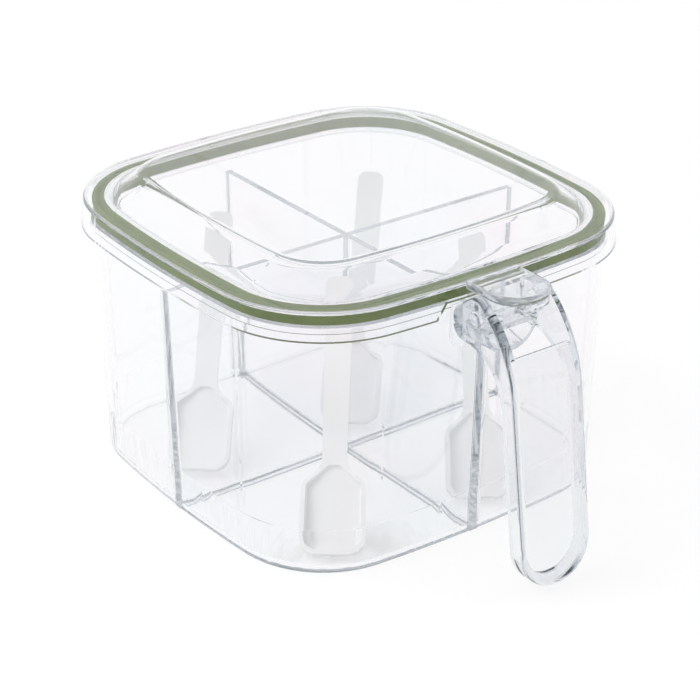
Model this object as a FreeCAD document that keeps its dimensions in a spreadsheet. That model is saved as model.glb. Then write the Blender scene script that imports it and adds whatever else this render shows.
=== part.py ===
import FreeCAD, Part
import math
import os
import Sketcher

V = FreeCAD.Vector
doc = FreeCAD.newDocument("FoodStorageBox")

# Driving sizes, in millimetres, plain shares and counts
SIZES = {
    # Box outline at the mouth: a rounded square with bowed sides
    "mouth_half_width": 77.0,
    "side_bow_radius": 505.0,
    "mouth_corner_radius": 38.5,
    # Box wall and floor
    "box_height": 93.8,
    "wall_draft": 2.5,
    "box_wall": 1.8,
    "box_floor": 1.2,
    "base_edge_radius": 3.0,
    "floor_edge_radius": 3.0,
    "band_height": 17.8,
    "band_step": 0.25,
    "flute_count": 64,
    "flute_depth": 0.22,
    "lip_width": 0.6,
    "lip_height": 2.2,
    # Cross partition
    "divider_drop": 9.0,
    "divider_top_width": 2.4,
    "divider_base_width": 3.4,
    "divider_foot_radius": 1.5,
    # Flat seat of the handle on the box wall
    "seat_stand_off": 0.75,
    "seat_margin": 0.45,
    "seat_drop": 1.3,
    "seat_height": 16.5,
    "seat_corner_radius": 5.0,
    # Lid ring and skirt
    "lid_overhang": 2.5,
    "skirt_flare": 1.2,
    "skirt_overlap": 4.0,
    "ring_rise": 6.4,
    "ring_fall": 0.6,
    "lid_sheet": 1.8,
    "skirt_wall": 1.6,
    "lid_edge_radius": 1.0,
    # Lid plug wall, which holds the gasket
    "plug_gap": 3.1,
    "plug_wall": 2.5,
    "plug_depth": 2.3,
    "bead_width": 0.8,
    "bead_height": 1.4,
    # Raised platform of the lid
    "platform_rise": 7.5,
    "slope_run": 10.7,
    "platform_edge_radius": 6.5,
    "slope_foot_radius": 9.0,
    "platform_lap": 4.0,
    # Skirt notch that clears the handle
    "notch_top_margin": 4.25,
    "notch_flare": 4.0,
    "notch_rise": 1.0,
    # Thumb tab and hinge ears of the lid
    "tab_side_gap": 0.45,
    "tab_reach": 12.9,
    "tab_lift": 5.9,
    "tab_thickness": 3.1,
    "tab_edge_radius": 1.4,
    "ear_side_gap": 0.85,
    "ear_width": 4.2,
    "ear_radius": 3.8,
    # Hinge
    "pivot_stand_off": 12.0,
    "pivot_drop": 2.3,
    "pin_radius": 2.0,
    "pin_run_gap": 0.08,
    "pin_seat_gap": 0.05,
    "pin_head_radius": 3.0,
    "pin_head_height": 1.2,
    "pin_head_rounding": 1.0,
    # Handle
    "handle_seat_gap": 0.1,
    "handle_half_width": 14.75,
    "handle_wall": 3.0,
    "hub_radius": 6.6,
    "hub_corner_share": 1.37,
    "shoulder_reach": 18.4,
    "shoulder_drop": 7.8,
    "shoulder_radius": 42.0,
    "handle_foot": 1.2,
    "handle_reach": 29.4,
    "handle_depth": 7.0,
    "neck_drop": 10.6,
    "neck_radius": 19.0,
    "cheek_back_drop": 1.8,
    "cheek_back_height": 10.0,
    "cheek_corner_radius": 5.0,
    "cheek_corner_share": 0.3,
    "foot_round_share": 0.98,
    "handle_edge_radius": 2.0,
    "web_drop": 9.2,
    "web_edge_radius": 1.3,
    # Round stub between the cheeks
    "stub_radius": 10.5,
    "stub_wall": 2.0,
    "stub_length": 12.3,
    "stub_gap": 0.5,
    # Gasket
    "gasket_gap": 0.15,
    "gasket_inset": 0.3,
    "gasket_rest": 0.3,
    "gasket_collar": 1.35,
    "gasket_edge_radius": 0.9,
    "gasket_groove_width": 2.4,
    "gasket_groove_depth": 0.9,
    # Spoons
    "spoon_length_share": 1.066,
    "spoon_lean_share": 0.9,
    "spoon_half_width": 4.2,
    "spoon_top_half_width": 5.0,
    "spoon_end_share": 0.68,
    "spoon_thickness": 2.2,
    "spoon_neck_radius": 9.0,
    "spoon_edge_radius": 1.2,
    "bowl_half_width": 11.0,
    "bowl_length": 30.2,
    "bowl_shoulder_rise": 4.5,
    "bowl_slope_lead": 5.7,
    "bowl_depth": 4.6,
    "bowl_wall": 1.1,
    "bowl_rim": 1.5,
    "bowl_corner_radius": 6.0,
    "bowl_shoulder_radius": 5.4,
    "recess_top_half": 2.0,
    "recess_top_rise": 1.6,
    "recess_top_radius": 1.9,
    "recess_edge_radius": 0.8,
    "spoon_rest_gap": 0.3,
    # How far cuts run past the solid
    "overrun": 5.0,
}

# Sizes that follow from the driving ones
FORMULAS = {
    "base_half_width": "mouth_half_width - wall_draft",
    "band_half_width": "mouth_half_width - wall_draft * (1 - band_height / box_height)",
    "lip_foot_half_width": "mouth_half_width - wall_draft * lip_height / box_height",
    "floor_half_width": "mouth_half_width - wall_draft * (1 - box_floor / box_height) - box_wall",
    "divider_height": "box_height - divider_drop",
    "divider_top_half": "mouth_half_width - wall_draft * divider_drop / box_height - box_wall / 2",
    "divider_base_half": "floor_half_width + box_wall / 2",
    "seat_reach": "mouth_half_width + seat_stand_off",
    "seat_half_width": "handle_half_width + seat_margin",
    "seat_top": "box_height - seat_drop",
    "seat_bottom": "seat_top - seat_height",
    "lid_half_width": "mouth_half_width + lid_overhang",
    "skirt_half_width": "lid_half_width + skirt_flare",
    "skirt_bottom": "box_height - skirt_overlap",
    "ring_top": "box_height + ring_rise",
    "ring_under": "ring_top - lid_sheet",
    "skirt_inner_half": "lid_half_width + skirt_flare * lid_sheet / (ring_top - skirt_bottom) - skirt_wall",
    "plug_half_width": "mouth_half_width - box_wall - plug_gap",
    "slope_half_width": "plug_half_width - plug_wall",
    "plug_bottom": "box_height - plug_depth",
    "platform_half_width": "slope_half_width - slope_run",
    "platform_top": "ring_top + platform_rise",
    "platform_under": "platform_top - lid_sheet",
    "slope_foot": "ring_top - ring_fall",
    "cheek_inner": "handle_half_width - handle_wall",
    "cheek_back": "seat_reach + handle_seat_gap",
    "notch_top": "box_height + notch_rise",
    "notch_top_half": "handle_half_width + notch_top_margin",
    "notch_base_half": "notch_top_half + notch_flare",
    "pivot_reach": "mouth_half_width + pivot_stand_off",
    "pivot_height": "box_height - pivot_drop",
    "tab_half_width": "cheek_inner - tab_side_gap",
    "tab_bottom": "pivot_height + tab_lift",
    "tab_root": "lid_half_width - skirt_wall / 2",
    "tab_round": "pivot_reach + tab_reach - tab_half_width",
    "ear_outer": "cheek_inner - ear_side_gap",
    "ear_inner": "ear_outer - ear_width",
    "pin_inner": "ear_inner + pin_run_gap",
    "hub_corner_height": "pivot_height + hub_radius * hub_corner_share",
    "cheek_top": "box_height - cheek_back_drop",
    "cheek_bottom": "cheek_top - cheek_back_height",
    "handle_front": "pivot_reach + handle_reach",
    "handle_back": "handle_front - handle_depth",
    "neck_height": "pivot_height - neck_drop",
    "leg_run": "handle_front - pivot_reach - shoulder_reach",
    "leg_lean": "leg_run / (pivot_height - shoulder_drop - handle_foot)",
    "neck_reach": "handle_back - leg_lean * (neck_height - handle_foot)",
    "corner_reach": "cheek_back + (neck_reach - cheek_back) * cheek_corner_share",
    "corner_height": "cheek_bottom + (neck_height - cheek_bottom) * cheek_corner_share",
    "web_top": "pivot_height - web_drop",
    "stub_top": "pivot_height - ear_radius - stub_gap",
    "spoon_length": "box_height * spoon_length_share",
    "spoon_end_radius": "spoon_top_half_width * spoon_end_share",
    "bowl_straight": "bowl_length - bowl_shoulder_rise",
    "bowl_slope_start": "bowl_straight - bowl_slope_lead",
    "recess_half": "bowl_half_width - bowl_rim",
    "recess_straight": "bowl_straight - bowl_wall",
    "recess_top": "bowl_length + recess_top_rise",
    "tab_end": "tab_round + tab_half_width",
    "tab_end_radius": "tab_half_width * foot_round_share",
    "ear_end": "pivot_height - ear_radius",
    "ear_end_radius": "ear_radius * foot_round_share",
    "ear_top": "tab_bottom + tab_thickness / 2",
    "gasket_inner_half": "plug_half_width + gasket_gap",
    "gasket_outer_half": "mouth_half_width - gasket_inset",
    "gasket_top": "ring_under - gasket_gap",
    "gasket_bottom": "box_height + gasket_rest",
    "gasket_middle": "(gasket_inner_half + gasket_outer_half - gasket_edge_radius) / 2",
    "gasket_collar_half": "gasket_inner_half + gasket_collar",
    "gasket_collar_bottom": "plug_bottom + bead_height + gasket_gap",
}

sheet = doc.addObject("Spreadsheet::Sheet", "dim")
for row, (name, size) in enumerate(SIZES.items(), start=1):
    sheet.set(f"A{row}", name)
    sheet.set(f"B{row}", str(size))
    sheet.setAlias(f"B{row}", name)
for row, (name, formula) in enumerate(FORMULAS.items(), start=len(SIZES) + 1):
    sheet.set(f"A{row}", name)
    sheet.set(f"B{row}", "=" + formula)
    sheet.setAlias(f"B{row}", name)
doc.recompute()

X_AXIS, Y_AXIS = range(-1, -3, -1)
ROOT = X_AXIS
START, END, CENTRE = range(1, 4)


def value(expression):
    """Number that an expression of the sheet gives."""
    return float(sheet.evalExpression(expression))


def dim(name):
    return value(f"dim.{name}")


def bind(sketch, constraint, expression):
    index = sketch.addConstraint(constraint)
    sketch.setExpression(f"Constraints[{index}]", expression)


def place(sketch, geometry, vertex, across, along):
    """Hold one point of a sketch at two expressions."""
    for kind, expression, axis in (("DistanceX", across, Y_AXIS), ("DistanceY", along, X_AXIS)):
        if expression == "0":
            sketch.addConstraint(Sketcher.Constraint("PointOnObject", geometry, vertex, axis))
            continue
        size = value(expression)
        if size < 0:
            gap = Sketcher.Constraint(kind, geometry, vertex, ROOT, START, -size)
            bind(sketch, gap, f"-({expression})")
        else:
            gap = Sketcher.Constraint(kind, ROOT, START, geometry, vertex, size)
            bind(sketch, gap, expression)


def new_body(label):
    body = doc.addObject("PartDesign::Body", label)
    body.Label = label
    return body


def new_sketch(body, name, role, offset=None):
    """Sketch on one of the body's own planes, moved along its normal by an expression."""
    sketch = body.newObject("Sketcher::SketchObject", name)
    plane = [feature for feature in body.Origin.OriginFeatures if feature.Role == role][0]
    sketch.AttachmentSupport = [(plane, "")]
    sketch.MapMode = "FlatFace"
    if offset:
        sketch.setExpression(".AttachmentOffset.Base.z", offset)
    return sketch


def outline_sizes(out):
    """Half width, side radius and corner radius of the outline that runs out outside the mouth."""
    names = ("mouth_half_width", "side_bow_radius", "mouth_corner_radius")
    return [value(f"dim.{name} + {out}") for name in names]


def outline_arcs(out):
    """Sides and corners in turn of the bowed rounded square parallel to the mouth."""
    half, side, corner = outline_sizes(out)
    setback = side - half
    reach = side - corner
    middle = (math.sqrt(2 * reach ** 2 - setback ** 2) - setback) / 2
    spread = math.atan2(middle, middle + setback)
    up = V(0, 0, 1)
    arcs = []
    for turn in range(4):
        angle = math.pi / 2 * turn
        spin = FreeCAD.Rotation(up, math.degrees(angle))
        bow = Part.Circle(spin.multVec(V(-setback, 0, 0)), up, side)
        bend = Part.Circle(spin.multVec(V(middle, middle, 0)), up, corner)
        arcs.append(Part.ArcOfCircle(bow, angle - spread, angle + spread))
        arcs.append(Part.ArcOfCircle(bend, angle + spread, angle + math.pi / 2 - spread))
    return arcs


def outline(sketch, out):
    """The outline as a sketch held by its centres and radii."""
    side, corner = outline_sizes(out)[1:]
    sketch.addGeometry(outline_arcs(out), False)
    arcs = sketch.GeometryCount
    for arc in range(arcs):
        sketch.addConstraint(Sketcher.Constraint("Tangent", arc, END, (arc + 1) % arcs, START))
    ahead = "dim.side_bow_radius - dim.mouth_half_width"
    behind = f"-({ahead})"
    for turn, centre in enumerate(((behind, "0"), ("0", behind), (ahead, "0"), ("0", ahead))):
        place(sketch, 2 * turn, CENTRE, *centre)
    bind(sketch, Sketcher.Constraint("Radius", 0, side), f"dim.side_bow_radius + {out}")
    bind(sketch, Sketcher.Constraint("Radius", 1, corner), f"dim.mouth_corner_radius + {out}")
    for turn in range(1, 4):
        sketch.addConstraint(Sketcher.Constraint("Equal", 0, 2 * turn))
        sketch.addConstraint(Sketcher.Constraint("Equal", 1, 2 * turn + 1))


def polygon(sketch, corners):
    """Closed outline; each corner is (across, along) or (across, along, rounding radius)."""
    points = [V(value(corner[0]), value(corner[1]), 0) for corner in corners]
    count = len(points)
    ends = []
    rounds = {}
    for i, corner in enumerate(corners):
        before = (points[i - 1] - points[i]).normalize()
        after = (points[(i + 1) % count] - points[i]).normalize()
        if len(corner) == 2:
            ends.append((points[i], points[i]))
            continue
        radius = value(corner[2])
        half_angle = before.getAngle(after) / 2
        run = radius / math.tan(half_angle)
        middle = points[i] + (before + after).normalize() * (radius / math.sin(half_angle))
        ends.append((points[i] + before * run, points[i] + after * run))
        rounds[i] = middle
    first = sketch.GeometryCount
    for i in range(count):
        sketch.addGeometry(Part.LineSegment(ends[i][1], ends[(i + 1) % count][0]), False)
    for i, corner in enumerate(corners):
        last_line, next_line = first + (i - 1) % count, first + i
        if i not in rounds:
            sketch.addConstraint(Sketcher.Constraint("Coincident", last_line, END, next_line, START))
            place(sketch, next_line, START, *corner)
            continue
        radius = value(corner[2])
        middle = rounds[i]
        angles = [math.atan2(end.y - middle.y, end.x - middle.x) for end in ends[i]]
        bend = (points[i - 1] - points[i]).cross(points[(i + 1) % count] - points[i]).z
        lead, trail = (START, END) if bend < 0 else (END, START)
        if bend > 0:
            angles.reverse()
        if angles[1] < angles[0]:
            angles[1] += 2 * math.pi
        arc = sketch.addGeometry(Part.ArcOfCircle(Part.Circle(middle, V(0, 0, 1), radius), *angles), False)
        sketch.addConstraint(Sketcher.Constraint("Tangent", last_line, END, arc, lead))
        sketch.addConstraint(Sketcher.Constraint("Tangent", next_line, START, arc, trail))
        bind(sketch, Sketcher.Constraint("Radius", arc, radius), corner[2])
        corner_point = sketch.addGeometry(Part.Point(points[i]), True)
        place(sketch, corner_point, START, corner[0], corner[1])
        sketch.addConstraint(Sketcher.Constraint("PointOnObject", corner_point, START, last_line))
        sketch.addConstraint(Sketcher.Constraint("PointOnObject", corner_point, START, next_line))


def flutes(sketch, out, count, depth):
    """The outline as a chain of equal shallow scoops."""
    rim = Part.Wire([arc.toShape() for arc in outline_arcs(out)]).discretize(Number=2 * count + 1)
    for start, middle, end in zip(rim[0:-2:2], rim[1:-1:2], rim[2::2]):
        inward = V(0, 0, 1).cross(end - start).normalize()
        sketch.addGeometry(Part.Arc(start, middle + inward * depth, end), False)


def rectangle(sketch, left, right, low, high):
    polygon(sketch, [(left, low), (right, low), (right, high), (left, high)])


def circle(sketch, across, along, radius):
    ring = Part.Circle(V(value(across), value(along), 0), V(0, 0, 1), value(radius))
    index = sketch.addGeometry(ring, False)
    place(sketch, index, CENTRE, across, along)
    bind(sketch, Sketcher.Constraint("Radius", index, value(radius)), radius)


def feature(body, kind, name, sketch, length, reverse=False, midplane=False):
    """Pad or pocket of a body."""
    made = body.newObject("PartDesign::" + kind, name)
    made.Profile = sketch
    made.setExpression("Length", length)
    made.Reversed = reverse
    made.SideType = "Symmetric" if midplane else "One side"
    doc.recompute()
    return made


def sweep(body, name, corners):
    """Ring of one section carried round the box outline."""
    path = new_sketch(body, name + "Path", "XY_Plane")
    outline(path, "0")
    section = new_sketch(body, name + "Section", "XZ_Plane")
    polygon(section, corners)
    ring = body.newObject("PartDesign::AdditivePipe", name)
    ring.Profile = section
    ring.Spine = path
    doc.recompute()
    return ring


def loft(body, name, levels):
    """Tapered bar through rectangles; each level is (height, half across, half along)."""
    sections = []
    for i, (height, across, along) in enumerate(levels):
        section = new_sketch(body, f"{name}Section{i}", "XY_Plane", height)
        rectangle(section, f"-({across})", across, f"-({along})", along)
        sections.append(section)
    bar = body.newObject("PartDesign::AdditiveLoft", name)
    bar.Profile = sections[0]
    bar.Sections = sections[1:]
    doc.recompute()
    return bar


def fillet(body, name, radius, chosen, way=None):
    """Round the edges of the tip, all or those along way, whose sample points all satisfy chosen."""
    base = body.Tip
    edges = []
    for i, edge in enumerate(base.Shape.Edges, start=1):
        first, last = edge.ParameterRange
        samples = [edge.valueAt(first + (last - first) * share) for share in (0, 0.5, 1)]
        runs_along = way is None or (samples[-1] - samples[0]).cross(way).Length < dim("band_step")
        if runs_along and all(chosen(point) for point in samples):
            edges.append(f"Edge{i}")
    made = body.newObject("PartDesign::Fillet", name)
    made.Base = (base, edges)
    made.setExpression("Radius", radius)
    doc.recompute()
    return made


def near(number, expression):
    """Whether a coordinate lies at the place that an expression gives."""
    closeness = dim("band_step") / 10
    return abs(number - value(expression)) < closeness


# Box body: swept wall, floor, fluted foot band, cross partition and the flat seat of the handle
box = new_body("box_body")
sweep(box, "BoxWall", [
    ("dim.base_half_width", "0", "dim.base_edge_radius"),
    ("dim.band_half_width - dim.band_step", "dim.band_height"),
    ("dim.band_half_width", "dim.band_height"),
    ("dim.lip_foot_half_width", "dim.box_height - dim.lip_height"),
    ("dim.mouth_half_width + dim.lip_width", "dim.box_height - dim.lip_height"),
    ("dim.mouth_half_width + dim.lip_width", "dim.box_height"),
    ("dim.mouth_half_width - dim.box_wall", "dim.box_height"),
    ("dim.floor_half_width", "dim.box_floor", "dim.floor_edge_radius"),
    ("dim.floor_half_width - dim.box_wall - 2 * dim.floor_edge_radius", "dim.box_floor"),
    ("dim.floor_half_width - dim.box_wall - 2 * dim.floor_edge_radius", "0"),
])
floor_sketch = new_sketch(box, "FloorOutline", "XY_Plane")
outline(floor_sketch, "(dim.floor_half_width - dim.box_wall - dim.floor_edge_radius - dim.mouth_half_width)")
feature(box, "Pad", "Floor", floor_sketch, "dim.box_floor")
band_crest = "(dim.band_half_width - dim.band_step - dim.mouth_half_width)"
band = new_sketch(box, "FluteOutline", "XY_Plane", "dim.band_height")
outline(band, "dim.overrun")
flutes(band, band_crest, round(dim("flute_count")), dim("flute_depth"))
feature(box, "Pocket", "Flutes", band, "dim.band_height + dim.overrun")
loft(box, "DividerAcross", [
    ("dim.box_floor / 2", "dim.divider_base_half", "dim.divider_base_width / 2"),
    ("dim.divider_height", "dim.divider_top_half", "dim.divider_top_width / 2"),
])
loft(box, "DividerAlong", [
    ("dim.box_floor / 2", "dim.divider_base_width / 2", "dim.divider_base_half"),
    ("dim.divider_height", "dim.divider_top_width / 2", "dim.divider_top_half"),
])
fillet(box, "DividerFoot", "dim.divider_foot_radius", lambda point: (
    near(point.z, "dim.box_floor") and min(abs(point.x), abs(point.y)) < dim("divider_base_width")
))
seat = new_sketch(box, "SeatOutline", "XZ_Plane", "dim.seat_reach")
polygon(seat, [
    ("-dim.seat_half_width", "dim.seat_bottom", "dim.seat_corner_radius"),
    ("dim.seat_half_width", "dim.seat_bottom", "dim.seat_corner_radius"),
    ("dim.seat_half_width", "dim.seat_top"),
    ("-dim.seat_half_width", "dim.seat_top"),
])
feature(box, "Pad", "HandleSeat", seat, "dim.seat_stand_off + dim.box_wall * 3 / 4", reverse=True)

# Lid: swept section, platform plate, notch, thumb tab and hinge ears
lid = new_body("lid")
tab = new_sketch(lid, "TabOutline", "XY_Plane", "dim.tab_bottom")
polygon(tab, [
    ("-dim.tab_half_width", "-dim.tab_root"),
    ("-dim.tab_half_width", "-dim.tab_end", "dim.tab_end_radius"),
    ("dim.tab_half_width", "-dim.tab_end", "dim.tab_end_radius"),
    ("dim.tab_half_width", "-dim.tab_root"),
])
feature(lid, "Pad", "ThumbTab", tab, "dim.tab_thickness")
fillet(lid, "TabEdge", "dim.tab_edge_radius", lambda point: (
    (near(point.z, "dim.tab_bottom") or near(point.z, "dim.tab_bottom + dim.tab_thickness"))
    and (abs(point.x) > dim("tab_half_width") / 2 or point.y < -dim("tab_round"))
))
sweep(lid, "LidRing", [
    ("dim.skirt_half_width", "dim.skirt_bottom"),
    ("dim.lid_half_width", "dim.ring_top", "dim.lid_edge_radius"),
    ("dim.slope_half_width", "dim.slope_foot", "dim.slope_foot_radius"),
    ("dim.platform_half_width", "dim.platform_top", "dim.platform_edge_radius"),
    ("dim.platform_half_width - dim.platform_lap", "dim.platform_top"),
    ("dim.platform_half_width - dim.platform_lap", "dim.platform_under"),
    ("dim.platform_half_width", "dim.platform_under", "dim.platform_edge_radius - dim.lid_sheet"),
    ("dim.slope_half_width", "dim.slope_foot - dim.lid_sheet"),
    ("dim.slope_half_width", "dim.plug_bottom"),
    ("dim.plug_half_width + dim.bead_width", "dim.plug_bottom"),
    ("dim.plug_half_width + dim.bead_width", "dim.plug_bottom + dim.bead_height"),
    ("dim.plug_half_width", "dim.plug_bottom + dim.bead_height"),
    ("dim.plug_half_width", "dim.ring_under"),
    ("dim.skirt_inner_half", "dim.ring_under"),
    ("dim.skirt_half_width - dim.skirt_wall", "dim.skirt_bottom"),
])
plate = new_sketch(lid, "PlatformOutline", "XY_Plane", "dim.platform_under")
outline(plate, "(dim.platform_half_width - dim.platform_lap * 3 / 4 - dim.mouth_half_width)")
feature(lid, "Pad", "Platform", plate, "dim.lid_sheet")
notch = new_sketch(lid, "NotchOutline", "XZ_Plane", "dim.gasket_outer_half + dim.gasket_inset")
polygon(notch, [
    ("-(dim.notch_base_half)", "dim.skirt_bottom"),
    ("-(dim.notch_base_half)", "dim.skirt_bottom - dim.overrun"),
    ("dim.notch_base_half", "dim.skirt_bottom - dim.overrun"),
    ("dim.notch_base_half", "dim.skirt_bottom"),
    ("dim.notch_top_half", "dim.notch_top"),
    ("-(dim.notch_top_half)", "dim.notch_top"),
])
feature(lid, "Pocket", "Notch", notch, "dim.lid_overhang + dim.skirt_flare + dim.overrun", reverse=True)
ears = new_sketch(lid, "EarOutline", "YZ_Plane")
polygon(ears, [
    ("-(dim.pivot_reach + dim.ear_radius)", "dim.ear_top"),
    ("-(dim.pivot_reach + dim.ear_radius)", "dim.ear_end", "dim.ear_end_radius"),
    ("-(dim.pivot_reach - dim.ear_radius)", "dim.ear_end", "dim.ear_end_radius"),
    ("-(dim.pivot_reach - dim.ear_radius)", "dim.ear_top"),
])
feature(lid, "Pad", "Ears", ears, "2 * dim.ear_outer", midplane=True)
between = new_sketch(lid, "EarGap", "YZ_Plane")
rectangle(between, "-(dim.pivot_reach + dim.tab_reach)", "-(dim.lid_half_width + dim.skirt_flare)",
          "dim.ear_end - dim.overrun", "dim.tab_bottom")
feature(lid, "Pocket", "EarSpacing", between, "2 * dim.ear_inner", midplane=True)
bore = new_sketch(lid, "EarBore", "YZ_Plane")
circle(bore, "-dim.pivot_reach", "dim.pivot_height", "dim.pin_radius + dim.pin_run_gap")
feature(lid, "Pocket", "EarBores", bore, "2 * (dim.ear_outer + dim.overrun)", midplane=True)

# Gasket: one green ring under the lid, round the plug wall, with a groove along its top
gasket = new_body("gasket")
sweep(gasket, "GasketRing", [
    ("dim.gasket_inner_half", "dim.gasket_top"),
    ("dim.gasket_inner_half", "dim.gasket_collar_bottom"),
    ("dim.gasket_collar_half", "dim.gasket_collar_bottom"),
    ("dim.gasket_collar_half", "dim.gasket_bottom"),
    ("dim.gasket_outer_half", "dim.gasket_bottom", "dim.gasket_edge_radius"),
    ("dim.gasket_outer_half", "dim.gasket_top", "dim.gasket_edge_radius"),
    ("dim.gasket_middle + dim.gasket_groove_width / 2", "dim.gasket_top"),
    ("dim.gasket_middle", "dim.gasket_top - dim.gasket_groove_depth"),
    ("dim.gasket_middle - dim.gasket_groove_width / 2", "dim.gasket_top"),
])

# Handle: a curved paddle, hollowed from the back, with two cheeks and a round stub at the top
handle = new_body("handle")
side = new_sketch(handle, "HandleSide", "YZ_Plane")
polygon(side, [
    ("-dim.cheek_back", "dim.cheek_top"),
    ("-dim.pivot_reach", "dim.hub_corner_height", "dim.hub_radius"),
    ("-(dim.pivot_reach + dim.shoulder_reach)", "dim.pivot_height - dim.shoulder_drop",
     "dim.shoulder_radius"),
    ("-dim.handle_front", "dim.handle_foot"),
    ("-dim.handle_back", "dim.handle_foot"),
    ("-dim.neck_reach", "dim.neck_height", "dim.neck_radius"),
    ("-dim.cheek_back", "dim.cheek_bottom"),
])
feature(handle, "Pad", "HandleBlock", side, "2 * dim.handle_half_width", midplane=True)
fillet(handle, "HandleFoot", "dim.handle_half_width * dim.foot_round_share", lambda point: (
    near(point.z, "dim.handle_foot") and near(abs(point.x), "dim.handle_half_width")
))
open_faces = []
block = handle.Tip
for i, face in enumerate(block.Shape.Faces, start=1):
    u_low, u_high, v_low, v_high = face.ParameterRange
    u_mid, v_mid = (u_low + u_high) / 2, (v_low + v_high) / 2
    outward = face.normalAt(u_mid, v_mid)
    middle = face.valueAt(u_mid, v_mid)
    faces_back = outward.y > abs(outward.x) and middle.z < dim("cheek_bottom")
    faces_down = -outward.z > abs(outward.x) and middle.z > dim("neck_height") - dim("neck_radius")
    if (faces_back or faces_down) and middle.y < -dim("cheek_back"):
        open_faces.append(f"Face{i}")
shell = handle.newObject("PartDesign::Thickness", "HandleShell")
shell.Base = (block, open_faces)
shell.setExpression("Value", "dim.handle_wall")
shell.Reversed = True
doc.recompute()
window = new_sketch(handle, "CheekGap", "YZ_Plane")
rectangle(window, "-(dim.handle_front + dim.overrun)", "-(dim.cheek_back + dim.handle_wall)",
          "dim.web_top", "dim.hub_corner_height + dim.overrun")
feature(handle, "Pocket", "CheekSpacing", window, "2 * dim.cheek_inner", midplane=True)
corner = new_sketch(handle, "CornerOutline", "YZ_Plane")
polygon(corner, [
    ("-dim.corner_reach", "dim.corner_height"),
    ("-dim.cheek_back", "dim.cheek_bottom", "dim.cheek_corner_radius"),
    ("-dim.cheek_back", "dim.cheek_top"),
    ("-dim.cheek_back + dim.overrun", "dim.cheek_top"),
    ("-dim.cheek_back + dim.overrun", "dim.corner_height - dim.overrun"),
    ("-dim.corner_reach", "dim.corner_height - dim.overrun"),
])
across_handle = "2 * (dim.handle_half_width + dim.overrun)"
feature(handle, "Pocket", "CheekCorner", corner, across_handle, midplane=True)
fillet(handle, "HandleEdge", "dim.handle_edge_radius", lambda point: (
    near(abs(point.x), "dim.handle_half_width")
    and near(point.y - dim("leg_lean") * (point.z - dim("handle_foot")), "-dim.handle_front")
))
fillet(handle, "WebEdge", "dim.web_edge_radius", lambda point: (
    near(point.z, "dim.web_top") and point.y < -dim("pivot_reach")
), V(1, 0, 0))
stub = new_sketch(handle, "StubOutline", "XZ_Plane", "dim.cheek_back")
polygon(stub, [
    ("-dim.stub_radius", "dim.stub_top"),
    ("-dim.stub_radius", "dim.stub_top - dim.stub_radius", "dim.stub_radius * dim.foot_round_share"),
    ("dim.stub_radius", "dim.stub_top - dim.stub_radius", "dim.stub_radius * dim.foot_round_share"),
    ("dim.stub_radius", "dim.stub_top"),
])
feature(handle, "Pad", "Stub", stub, "dim.stub_length")
hollow = new_sketch(handle, "StubHollow", "XZ_Plane", "dim.cheek_back + dim.handle_wall")
polygon(hollow, [
    ("-(dim.stub_radius - dim.stub_wall)", "dim.stub_top - dim.stub_wall"),
    ("-(dim.stub_radius - dim.stub_wall)", "dim.stub_top - dim.stub_radius + dim.stub_wall",
     "(dim.stub_radius - 2 * dim.stub_wall) * dim.foot_round_share"),
    ("dim.stub_radius - dim.stub_wall", "dim.stub_top - dim.stub_radius + dim.stub_wall",
     "(dim.stub_radius - 2 * dim.stub_wall) * dim.foot_round_share"),
    ("dim.stub_radius - dim.stub_wall", "dim.stub_top - dim.stub_wall"),
])
feature(handle, "Pocket", "StubBore", hollow, "dim.stub_length", reverse=True)
cheek_bore = new_sketch(handle, "CheekBore", "YZ_Plane")
circle(cheek_bore, "-dim.pivot_reach", "dim.pivot_height", "dim.pin_radius + dim.pin_seat_gap")
feature(handle, "Pocket", "CheekBores", cheek_bore, across_handle, midplane=True)

# Hinge pins: a short round pin with a domed head through each cheek
pins = []
for label, sign in (("hinge_pin_left", "-"), ("hinge_pin_right", "")):
    pin = new_body(label)
    half = new_sketch(pin, label + "Half", "XY_Plane", "dim.pivot_height")
    half.setExpression(".AttachmentOffset.Base.y", "-dim.pivot_reach")
    polygon(half, [
        (f"{sign}dim.pin_inner", "0"),
        (f"{sign}dim.pin_inner", "dim.pin_radius"),
        (f"{sign}(dim.handle_half_width + dim.pin_seat_gap)", "dim.pin_radius"),
        (f"{sign}(dim.handle_half_width + dim.pin_seat_gap)", "dim.pin_head_radius"),
        (f"{sign}(dim.handle_half_width + dim.pin_seat_gap + dim.pin_head_height)", "dim.pin_head_radius",
         "dim.pin_head_rounding"),
        (f"{sign}(dim.handle_half_width + dim.pin_seat_gap + dim.pin_head_height)", "0"),
    ])
    turned = pin.newObject("PartDesign::Revolution", label + "Turn")
    turned.Profile = half
    turned.ReferenceAxis = (half, ["H_Axis"])
    turned.Angle = 360
    doc.recompute()
    pins.append(pin)

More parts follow.
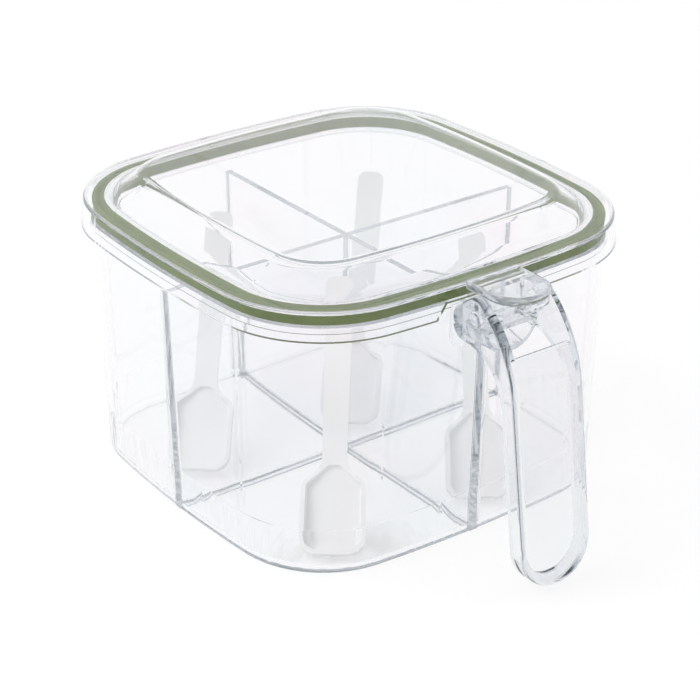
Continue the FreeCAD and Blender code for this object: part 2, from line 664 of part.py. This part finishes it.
# Spoons: a squared scoop with a raised rim on a flat handle, leaning in each compartment
# Plan places are shares of the half-width of the floor: tip (x, y), then where the top leans (x, y)
spoon_place_shares = {
    "spoon_front": ((-0.6857, -0.8087), (-0.0755, -0.0542)),
    "spoon_left": ((-0.7410, 0.2323), (-0.0825, 0.9815)),
    "spoon_back": ((0.1650, 0.1840), (0.8275, 0.8824)),
    "spoon_right": ((0.1966, -0.8178), (0.7468, -0.0485)),
}
spoons = []
for label, (tip_shares, top_shares) in spoon_place_shares.items():
    spoon = new_body(label)
    plan = new_sketch(spoon, label + "Plan", "XZ_Plane")
    polygon(plan, [
        ("-dim.bowl_half_width", "0", "dim.bowl_corner_radius"),
        ("dim.bowl_half_width", "0", "dim.bowl_corner_radius"),
        ("dim.bowl_half_width", "dim.bowl_straight", "dim.bowl_shoulder_radius"),
        ("dim.spoon_half_width", "dim.bowl_length", "dim.spoon_neck_radius"),
        ("dim.spoon_top_half_width", "dim.spoon_length", "dim.spoon_end_radius"),
        ("-dim.spoon_top_half_width", "dim.spoon_length", "dim.spoon_end_radius"),
        ("-dim.spoon_half_width", "dim.bowl_length", "dim.spoon_neck_radius"),
        ("-dim.bowl_half_width", "dim.bowl_straight", "dim.bowl_shoulder_radius"),
    ])
    feature(spoon, "Pad", label + "Block", plan, "dim.bowl_depth")
    wedge = new_sketch(spoon, label + "Wedge", "YZ_Plane")
    polygon(wedge, [
        ("-dim.bowl_depth", "dim.bowl_slope_start"),
        ("-dim.spoon_thickness", "dim.bowl_length"),
        ("-dim.spoon_thickness", "dim.spoon_length + dim.overrun"),
        ("-(dim.bowl_depth + dim.overrun)", "dim.spoon_length + dim.overrun"),
        ("-(dim.bowl_depth + dim.overrun)", "dim.bowl_slope_start"),
    ])
    feature(spoon, "Pocket", label + "Slope", wedge, "2 * (dim.bowl_half_width + dim.overrun)", midplane=True)
    recess = new_sketch(spoon, label + "Recess", "XZ_Plane", "dim.bowl_depth")
    polygon(recess, [
        ("-dim.recess_half", "dim.bowl_rim", "dim.bowl_corner_radius - dim.bowl_rim"),
        ("dim.recess_half", "dim.bowl_rim", "dim.bowl_corner_radius - dim.bowl_rim"),
        ("dim.recess_half", "dim.recess_straight", "dim.bowl_shoulder_radius - dim.bowl_rim"),
        ("dim.recess_top_half", "dim.recess_top", "dim.recess_top_radius"),
        ("-dim.recess_top_half", "dim.recess_top", "dim.recess_top_radius"),
        ("-dim.recess_half", "dim.recess_straight", "dim.bowl_shoulder_radius - dim.bowl_rim"),
    ])
    feature(spoon, "Pocket", label + "Hollow", recess, "dim.bowl_depth - dim.bowl_wall")
    fillet(spoon, label + "Floor", "dim.recess_edge_radius", lambda point: near(point.y, "-dim.bowl_wall"))
    fillet(spoon, label + "Back", "dim.spoon_edge_radius", lambda point: near(point.y, "0"))
    tip = V(*tip_shares, 0) * dim("floor_half_width")
    top = V(*top_shares, 0) * dim("floor_half_width")
    run = top - tip
    run *= min(1, dim("spoon_length") * dim("spoon_lean_share") / run.Length)
    rise = math.sqrt(dim("spoon_length") ** 2 - run.Length ** 2)
    length_way = (run + V(0, 0, rise)).normalize()
    width_way = V(run.y, -run.x, 0).normalize()
    depth_way = length_way.cross(width_way)
    turn = FreeCAD.Rotation(width_way, depth_way, length_way, "ZXY")
    spoon.Placement = FreeCAD.Placement(tip, turn)
    doc.recompute()
    sink = dim("box_floor") + dim("spoon_rest_gap") - spoon.Shape.optimalBoundingBox(False, False).ZMin
    spoon.Placement = FreeCAD.Placement(tip + V(0, 0, sink), turn)
    doc.recompute()
    spoons.append(spoon)

# Check every object, then write one file for each piece
doc.recompute()
for thing in doc.Objects:
    if "Invalid" in thing.State or "Error" in thing.State:
        raise RuntimeError(f"{thing.Name} did not compute")
os.makedirs("parts", exist_ok=True)
for body in [box, lid, gasket, handle] + pins + spoons:
    if body.Shape.isNull() or not body.Shape.isValid() or len(body.Shape.Solids) != 1:
        raise RuntimeError(f"{body.Label} is not one sound solid")
    body.Shape.exportStep(f"parts/{body.Label}.step")
    print(body.Label, round(body.Shape.Volume))
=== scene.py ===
import math

import bpy
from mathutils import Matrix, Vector

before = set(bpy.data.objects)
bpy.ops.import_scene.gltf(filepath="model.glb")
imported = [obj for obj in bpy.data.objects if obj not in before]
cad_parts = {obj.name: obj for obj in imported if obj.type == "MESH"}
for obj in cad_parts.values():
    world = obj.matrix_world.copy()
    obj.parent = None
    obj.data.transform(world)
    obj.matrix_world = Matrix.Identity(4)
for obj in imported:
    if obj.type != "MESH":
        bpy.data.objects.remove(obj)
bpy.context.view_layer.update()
scene = bpy.context.scene
scene.view_settings.view_transform = "Standard"

# Light passes many clear walls before it reaches the camera
MOST_BOUNCES = 64
scene.cycles.max_bounces = MOST_BOUNCES
scene.cycles.transmission_bounces = MOST_BOUNCES
scene.cycles.transparent_max_bounces = MOST_BOUNCES
scene.cycles.glossy_bounces = MOST_BOUNCES

# Colours are linear, lengths are in metres
WHITE = (1.0, 1.0, 1.0)
EVEN = (1.0, 1.0, 1.0)
BOX_MIDDLE = Vector((0.0, 0.0, 0.05))

# Clear plastic: a painted rainbow sheen that stands for the glints of frozen stress runs up the walls,
# and so do the waves of flow
PLASTIC_IOR = 1.5
PLASTIC_ROUGHNESS = (0.01, 0.04)
CLOUD_SCALE = 60.0
STRESS_GLINT_SCALE = 22.0
STRESS_GLINT_STRETCH = (1.0, 1.0, 0.4)
STRESS_GLINT_COLOURS = {0.3: (0.978, 0.990, 1.0), 0.5: (0.987, 0.990, 0.998), 0.7: (1.0, 0.982, 0.994)}
FLOW_SCALE = 30.0
FLOW_STRETCH = (1.0, 1.0, 0.25)
FLOW_HEIGHT = 0.001
SMOOTH_DETAIL = 1.0
DEPTH_TINT = (0.16, 0.24, 0.31)
LAMP_TINT = (0.972, 0.973, 0.975)
TRAPPED_DEPTH = 36.0

# Silicone, white plastic and the floor's paper: where the two colours lie on the noise
SILICONE_COLOURS = {0.35: (0.080, 0.130, 0.008), 0.65: (0.108, 0.164, 0.014)}
SPOON_COLOURS = {0.35: (0.915, 0.915, 0.920), 0.65: (0.950, 0.950, 0.955)}
PAPER_COLOURS = {0.35: (0.975, 0.975, 0.975), 0.65: (0.990, 0.990, 0.990)}
PAPER_SCALE = 3.0
PAPER_ROUGHNESS = 0.9
PAPER_GLOSS = 0.1

# Floor: the white share is least up to 0.45 m from the middle, where nearness is 0.55
FLOOR_SIZE = 8.0
FLOOR_DROP = 0.0004
FAR_WHITE_SHARE = 1.0
NEAR_WHITE_SHARE = 0.60
FULL_NEARNESS = 0.55

# World: the sky is dim overhead, a little towards the box's front corner
DULL_LIGHT = 0.62
DIM_SIDE = Vector((-0.20, -0.27, 0.94)).normalized()
SKY_COLOURS = {0.45: WHITE, 0.92: (0.56, 0.59, 0.66)}

# Camera: the view that was fitted to the photograph, its frame in pixels
AZIMUTH = math.radians(-36.619)
ELEVATION = math.radians(26.1)
DISTANCE = 0.770955
FRAME_PIXELS = 700.0
FOCAL_PIXELS = 2139.282
CENTRE_PIXEL_X = 346.276
CENTRE_PIXEL_Y = 326.042
SENSOR_MM = 36.0
CLIP_START = 0.01


# Shader nodes


def opaque(colour):
    return (*colour, 1.0)


def new_material(name):
    """A material with its node tree and main shader."""
    material = bpy.data.materials.new(name)
    material.use_nodes = True
    tree = material.node_tree
    return material, tree, tree.nodes["Principled BSDF"]


def noise(tree, scale, detail=3.0, stretch=EVEN):
    """Noise in object space, stretched along the axes."""
    place = tree.nodes.new("ShaderNodeTexCoord")
    mapping = tree.nodes.new("ShaderNodeMapping")
    mapping.inputs["Scale"].default_value = stretch
    texture = tree.nodes.new("ShaderNodeTexNoise")
    texture.inputs["Scale"].default_value = scale
    texture.inputs["Detail"].default_value = detail
    tree.links.new(place.outputs["Object"], mapping.inputs["Vector"])
    tree.links.new(mapping.outputs["Vector"], texture.inputs["Vector"])
    return texture.outputs["Fac"]


def ramp(tree, factor, colours):
    """Colours along a factor, by their positions in rising order."""
    node = tree.nodes.new("ShaderNodeValToRGB")
    stops = node.color_ramp.elements
    while len(stops) < len(colours):
        stops.new(1.0)
    for stop, (position, colour) in zip(stops, colours.items()):
        stop.position = position
        stop.color = opaque(colour)
    tree.links.new(factor, node.inputs["Fac"])
    return node.outputs["Color"]


def span(tree, factor, low, high, full=1.0):
    """A value that goes from low to high as the factor goes from zero to full."""
    node = tree.nodes.new("ShaderNodeMapRange")
    node.inputs["From Max"].default_value = full
    node.inputs["To Min"].default_value = low
    node.inputs["To Max"].default_value = high
    tree.links.new(factor, node.inputs["Value"])
    return node.outputs["Result"]


def bump(tree, factor, strength, height):
    node = tree.nodes.new("ShaderNodeBump")
    node.inputs["Strength"].default_value = strength
    node.inputs["Distance"].default_value = height
    tree.links.new(factor, node.inputs["Height"])
    return node.outputs["Normal"]


def combine(tree, operation, first, second):
    node = tree.nodes.new("ShaderNodeMath")
    node.operation = operation
    tree.links.new(first, node.inputs[0])
    tree.links.new(second, node.inputs[1])
    return node.outputs["Value"]


def mix(tree, factor, first, second):
    """The first shader where the factor is zero, the second where it is one."""
    node = tree.nodes.new("ShaderNodeMixShader")
    tree.links.new(factor, node.inputs["Fac"])
    tree.links.new(first, node.inputs[1])
    tree.links.new(second, node.inputs[2])
    return node.outputs["Shader"]


def seen_rays(tree):
    """One for rays from the camera, also those that a surface mirrors or lets through."""
    path = tree.nodes.new("ShaderNodeLightPath")
    direct = combine(tree, "MAXIMUM", path.outputs["Is Camera Ray"], path.outputs["Is Glossy Ray"])
    return combine(tree, "MAXIMUM", direct, path.outputs["Is Transmission Ray"])


def passing_rays(tree):
    """One for rays that carry light to dull surfaces, and for rays long trapped in the plastic."""
    path = tree.nodes.new("ShaderNodeLightPath")
    trapped = tree.nodes.new("ShaderNodeMath")
    trapped.operation = "GREATER_THAN"
    trapped.inputs[1].default_value = TRAPPED_DEPTH
    tree.links.new(path.outputs["Ray Depth"], trapped.inputs[0])
    light = combine(tree, "MAXIMUM", path.outputs["Is Shadow Ray"], path.outputs["Is Diffuse Ray"])
    return combine(tree, "MAXIMUM", light, trapped.outputs["Value"])


# Materials


def clear_plastic(name, wave, density):
    """Clear moulded plastic with faint painted stress glints, flow waves and a tint that grows with
    depth.
    """
    material, tree, shader = new_material(name)
    output = tree.nodes["Material Output"]
    # Painted rainbow sheen: the glints that frozen stress shows in the light, laid in as a faint base
    # tint
    stress_glint = ramp(tree, noise(tree, STRESS_GLINT_SCALE, SMOOTH_DETAIL, STRESS_GLINT_STRETCH), STRESS_GLINT_COLOURS)
    tree.links.new(stress_glint, shader.inputs["Base Color"])
    cloud = span(tree, noise(tree, CLOUD_SCALE), *PLASTIC_ROUGHNESS)
    tree.links.new(cloud, shader.inputs["Roughness"])
    flow = noise(tree, FLOW_SCALE, SMOOTH_DETAIL, FLOW_STRETCH)
    tree.links.new(bump(tree, flow, wave, FLOW_HEIGHT), shader.inputs["Normal"])
    shader.inputs["Transmission Weight"].default_value = 1.0
    shader.inputs["IOR"].default_value = PLASTIC_IOR
    through = tree.nodes.new("ShaderNodeBsdfTransparent")
    through.inputs["Color"].default_value = opaque(LAMP_TINT)
    surface = mix(tree, passing_rays(tree), shader.outputs["BSDF"], through.outputs["BSDF"])
    tree.links.new(surface, output.inputs["Surface"])
    depth = tree.nodes.new("ShaderNodeVolumeAbsorption")
    depth.inputs["Color"].default_value = opaque(DEPTH_TINT)
    depth.inputs["Density"].default_value = density
    tree.links.new(depth.outputs["Volume"], output.inputs["Volume"])
    return material


def dull_material(name, colours, mottle_scale, roughness, patch_scale, grain, grain_scale, gloss):
    """A mottled solid material with uneven roughness and a fine grain of a strength and height."""
    material, tree, shader = new_material(name)
    colour = ramp(tree, noise(tree, mottle_scale), colours)
    tree.links.new(colour, shader.inputs["Base Color"])
    patches = span(tree, noise(tree, patch_scale), *roughness)
    tree.links.new(patches, shader.inputs["Roughness"])
    relief = bump(tree, noise(tree, grain_scale), *grain)
    tree.links.new(relief, shader.inputs["Normal"])
    shader.inputs["Specular IOR Level"].default_value = gloss
    return material


def floor_paper(name):
    """Pale paper that keeps the soft shadow near the box and is plain white far off."""
    material, tree, shader = new_material(name)
    tone = ramp(tree, noise(tree, PAPER_SCALE), PAPER_COLOURS)
    tree.links.new(tone, shader.inputs["Base Color"])
    shader.inputs["Roughness"].default_value = PAPER_ROUGHNESS
    shader.inputs["Specular IOR Level"].default_value = PAPER_GLOSS
    glow = tree.nodes.new("ShaderNodeEmission")
    glow.inputs["Color"].default_value = opaque(WHITE)
    place = tree.nodes.new("ShaderNodeTexCoord")
    nearness = tree.nodes.new("ShaderNodeTexGradient")
    nearness.gradient_type = "SPHERICAL"
    tree.links.new(place.outputs["Object"], nearness.inputs["Vector"])
    white_share = span(tree, nearness.outputs["Fac"], FAR_WHITE_SHARE, NEAR_WHITE_SHARE, FULL_NEARNESS)
    share = combine(tree, "MULTIPLY", seen_rays(tree), white_share)
    surface = mix(tree, share, shader.outputs["BSDF"], glow.outputs["Emission"])
    tree.links.new(surface, tree.nodes["Material Output"].inputs["Surface"])
    return material


box_plastic = clear_plastic("clear_box", wave=0.05, density=5.5)
lid_plastic = clear_plastic("clear_lid", wave=0.03, density=9.0)
handle_plastic = clear_plastic("clear_handle", wave=0.03, density=28.0)
silicone = dull_material(
    "green_seal",
    SILICONE_COLOURS,
    mottle_scale=90.0,
    roughness=(0.42, 0.58),
    patch_scale=220.0,
    grain=(0.08, 0.0003),
    grain_scale=500.0,
    gloss=0.15,
)
spoon_plastic = dull_material(
    "white_spoon",
    SPOON_COLOURS,
    mottle_scale=35.0,
    roughness=(0.26, 0.38),
    patch_scale=150.0,
    grain=(0.04, 0.0004),
    grain_scale=160.0,
    gloss=0.5,
)

looks = {
    "box_body": box_plastic,
    "lid": lid_plastic,
    "handle": handle_plastic,
    "hinge_pin_left": handle_plastic,
    "hinge_pin_right": handle_plastic,
    "gasket": silicone,
    "spoon_front": spoon_plastic,
    "spoon_left": spoon_plastic,
    "spoon_back": spoon_plastic,
    "spoon_right": spoon_plastic,
}
for name, material in looks.items():
    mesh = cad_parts[name].data
    mesh.materials.clear()
    mesh.materials.append(material)

# Floor, just under the box
bpy.ops.mesh.primitive_plane_add(size=FLOOR_SIZE, location=(0.0, 0.0, -FLOOR_DROP))
floor = bpy.context.object
floor.name = "floor"
floor.data.materials.append(floor_paper("floor_paper"))


# World: plain light for dull surfaces, and a white sky with a dim part where it is seen or mirrored


def studio_world(name):
    world = bpy.data.worlds.new(name)
    world.use_nodes = True
    tree = world.node_tree
    light = tree.nodes["Background"]
    light.inputs["Color"].default_value = opaque(WHITE)
    light.inputs["Strength"].default_value = DULL_LIGHT
    place = tree.nodes.new("ShaderNodeTexCoord")
    toward = tree.nodes.new("ShaderNodeVectorMath")
    toward.operation = "DOT_PRODUCT"
    toward.inputs[1].default_value = DIM_SIDE
    tree.links.new(place.outputs["Generated"], toward.inputs[0])
    sky = tree.nodes.new("ShaderNodeBackground")
    tree.links.new(ramp(tree, toward.outputs["Value"], SKY_COLOURS), sky.inputs["Color"])
    surface = mix(tree, seen_rays(tree), light.outputs["Background"], sky.outputs["Background"])
    tree.links.new(surface, tree.nodes["World Output"].inputs["Surface"])
    return world


scene.world = studio_world("studio")


# Lamps: square and soft, aimed at the box and not mirrored in the plastic


def softbox(name, place, size, energy):
    lamp = bpy.data.lights.new(name, "AREA")
    lamp.shape = "SQUARE"
    lamp.size = size
    lamp.energy = energy
    holder = bpy.data.objects.new(name, lamp)
    holder.location = place
    holder.rotation_euler = (BOX_MIDDLE - Vector(place)).to_track_quat("-Z", "Y").to_euler()
    holder.visible_glossy = False
    holder.visible_transmission = False
    scene.collection.objects.link(holder)


softbox("key", place=(-0.9, 0.5, 1.5), size=1.2, energy=18.0)
softbox("fill", place=(1.1, -0.5, 1.1), size=1.0, energy=4.0)

# Camera at the photograph's view
back = Vector((
    math.sin(AZIMUTH) * math.cos(ELEVATION),
    -math.cos(AZIMUTH) * math.cos(ELEVATION),
    math.sin(ELEVATION),
))
lens = bpy.data.cameras.new("camera")
lens.sensor_width = SENSOR_MM
lens.lens = SENSOR_MM * FOCAL_PIXELS / FRAME_PIXELS
lens.shift_x = (FRAME_PIXELS / 2 - CENTRE_PIXEL_X) / FRAME_PIXELS
lens.shift_y = (CENTRE_PIXEL_Y - FRAME_PIXELS / 2) / FRAME_PIXELS
lens.clip_start = CLIP_START
camera = bpy.data.objects.new("camera", lens)
camera.location = BOX_MIDDLE + back * DISTANCE
camera.rotation_mode = "QUATERNION"
camera.rotation_quaternion = (-back).to_track_quat("-Z", "Y")
scene.collection.objects.link(camera)
scene.camera = camera
